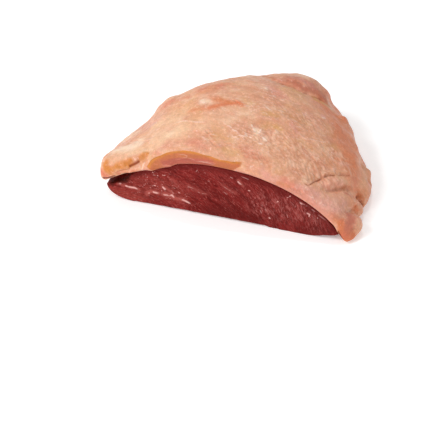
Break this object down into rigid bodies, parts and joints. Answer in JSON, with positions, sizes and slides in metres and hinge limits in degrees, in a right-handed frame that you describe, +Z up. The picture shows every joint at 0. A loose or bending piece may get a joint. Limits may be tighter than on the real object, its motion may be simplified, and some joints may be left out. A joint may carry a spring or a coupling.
{
  "type": "picanha",
  "caption": "Raw beef rump cap lying fat side up, with a domed layer of pale fat over deep red lean meat, cut straight across at its wide end.",
  "frame": {"origin": "on the surface the joint lies on, under the middle of its bounding box", "axes": "+Z up, X along the cut face from the thick lobe (-X) to the hanging flap (+X), +Y from the cut face back to the tip"},
  "size_m": [0.197, 0.1836, 0.0674],
  "materials": {
    "lean": "raw lean beef, moist, deep red with fine pale marbling",
    "fat": "raw beef fat, moist, cream to tan with pink and orange patches"
  },
  "bodies": {
    "root": {"lean": "lean", "fat_cap": "fat"}
  },
  "joints": []
}
